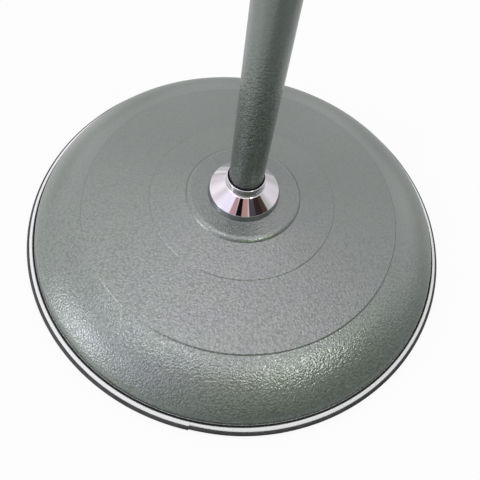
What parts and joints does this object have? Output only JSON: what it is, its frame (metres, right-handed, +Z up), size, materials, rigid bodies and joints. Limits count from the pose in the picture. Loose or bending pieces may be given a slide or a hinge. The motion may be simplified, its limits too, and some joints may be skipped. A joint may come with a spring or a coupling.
{
  "type": "weighted pedestal stand",
  "caption": "Round weighted floor stand: pressed steel base with ballast, rubber edge with bright bead, tube column with threaded top, and a loose chrome collar at its foot.",
  "frame": {"origin": "on the floor under the middle of the round base, at the foot of the column's axis", "axes": "+Z up along the column, towards its threaded top; the joint in the edge moulding faces about -Y"},
  "size_m": [0.4, 0.4, 0.45],
  "materials": {
    "hammertone_paint": "grey green stoved hammertone enamel",
    "bright_plate": "polished chromium plate",
    "bead_film": "bright metal film on a half round bead",
    "black_rubber": "soft black rubber, satin",
    "gasket_rubber": "dark sheet rubber, matt",
    "black_nylon": "moulded black nylon",
    "grey_iron": "sand cast grey iron with a thin black wash",
    "zinc_sheet": "galvanised sheet with a faint spangle",
    "mild_steel": "plain mild steel, lightly oiled",
    "zinc_plate": "bright zinc plate",
    "dark_spring_steel": "phosphated spring steel",
    "turned_aluminium": "fine turned aluminium"
  },
  "bodies": {
    "stand": {"base_shell": "hammertone_paint", "column_tube": "hammertone_paint", "edge_moulding": "black_rubber", "edge_bead": "bead_film", "reinforcing_plate": "mild_steel", "column_gasket": "gasket_rubber", "column_flange": "mild_steel", "flange_screws": "zinc_plate", "flange_washers": "zinc_plate", "flange_split_washers": "dark_spring_steel", "flange_nuts": "zinc_plate", "foot_pin": "dark_spring_steel", "top_pin": "dark_spring_steel", "top_plug": "turned_aluminium", "ballast": "grey_iron", "ballast_studs": "zinc_plate", "ballast_washers": "zinc_plate", "ballast_split_washers": "dark_spring_steel", "ballast_nuts": "zinc_plate", "bottom_plate": "zinc_sheet", "bottom_screws": "zinc_plate", "foot_pads": "black_rubber", "foot_screws": "zinc_plate"},
    "collar": {"collar": "bright_plate", "collar_bush": "black_nylon"}
  },
  "joints": [
    {"name": "collar_slide", "type": "slide", "parent": "stand", "child": "collar", "axis": [0, 0, 1], "range_m": [0, 0.36]}
  ]
}
